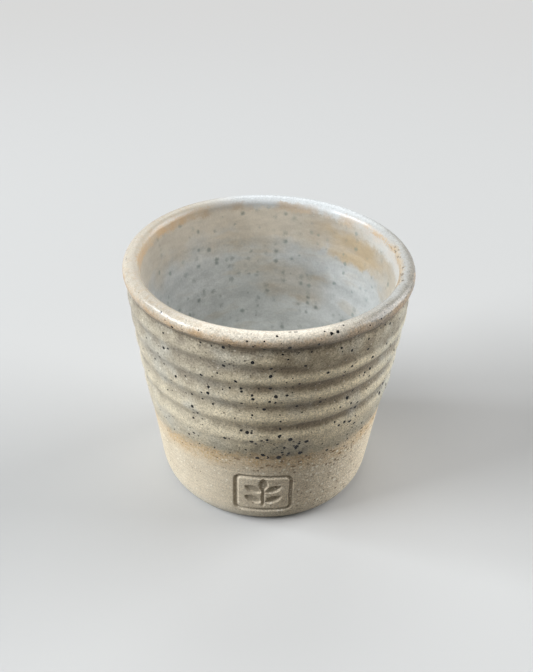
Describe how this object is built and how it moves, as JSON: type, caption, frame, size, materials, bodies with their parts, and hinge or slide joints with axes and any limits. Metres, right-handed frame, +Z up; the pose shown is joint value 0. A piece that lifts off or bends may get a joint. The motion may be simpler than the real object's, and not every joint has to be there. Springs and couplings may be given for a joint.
{
  "type": "espresso cup",
  "caption": "Tapered espresso cup without a handle: ringed stoneware body with a rounded lip, an outer glaze that stops above the bare stamped foot, and a white liner glaze.",
  "frame": {"origin": "centre of the ring the cup stands on, on the table", "axes": "+Z up along the axis the cup was thrown on; -Y towards the viewer, through the middle of the stamp; +X to the viewer's right"},
  "size_m": [0.064, 0.064, 0.057],
  "materials": {
    "stoneware": "matte bare clay with fine grog, brown specks and a warm flash near the glaze",
    "oatmeal_glaze": "semi-matte speckled oatmeal glaze, paler on the lip",
    "white_glaze": "satin bluish white"
  },
  "bodies": {
    "root": {"stoneware_body": "stoneware", "outer_glaze": "oatmeal_glaze", "liner_glaze": "white_glaze"}
  },
  "joints": []
}
